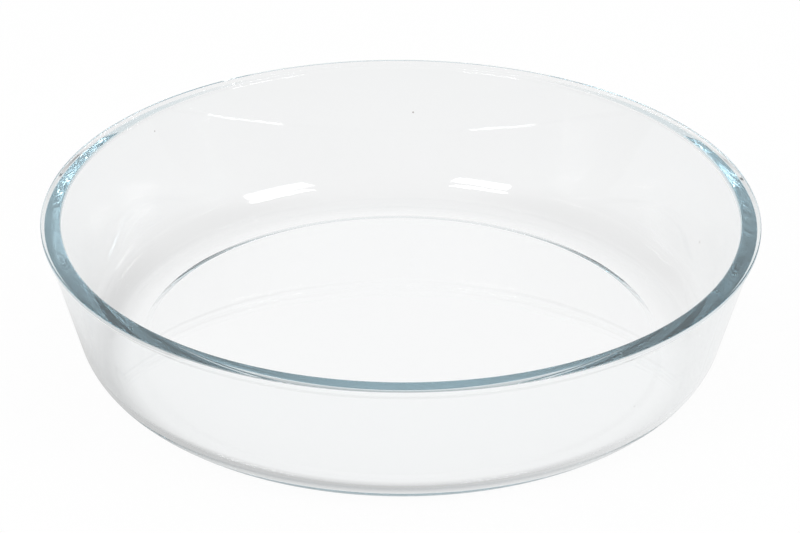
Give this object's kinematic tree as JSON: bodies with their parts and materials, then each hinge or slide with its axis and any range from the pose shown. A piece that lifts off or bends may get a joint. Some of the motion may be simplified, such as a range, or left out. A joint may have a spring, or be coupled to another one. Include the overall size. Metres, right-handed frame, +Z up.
{
  "type": "round glass baking dish",
  "caption": "Round clear glass baking dish with a sloping wall, a narrow turned-out lip at the rim and a shallow foot ring.",
  "frame": {"origin": "centre of the foot ring, level with the surface that the dish stands on", "axes": "+Z up along the axis that the dish is turned about; X and Y lie in the surface that it stands on"},
  "size_m": [0.26, 0.26, 0.055],
  "materials": {
    "glass": "clear gloss pressed glass, faintly blue-green where the way through it is long"
  },
  "bodies": {
    "root": {"dish": "glass"}
  },
  "joints": []
}
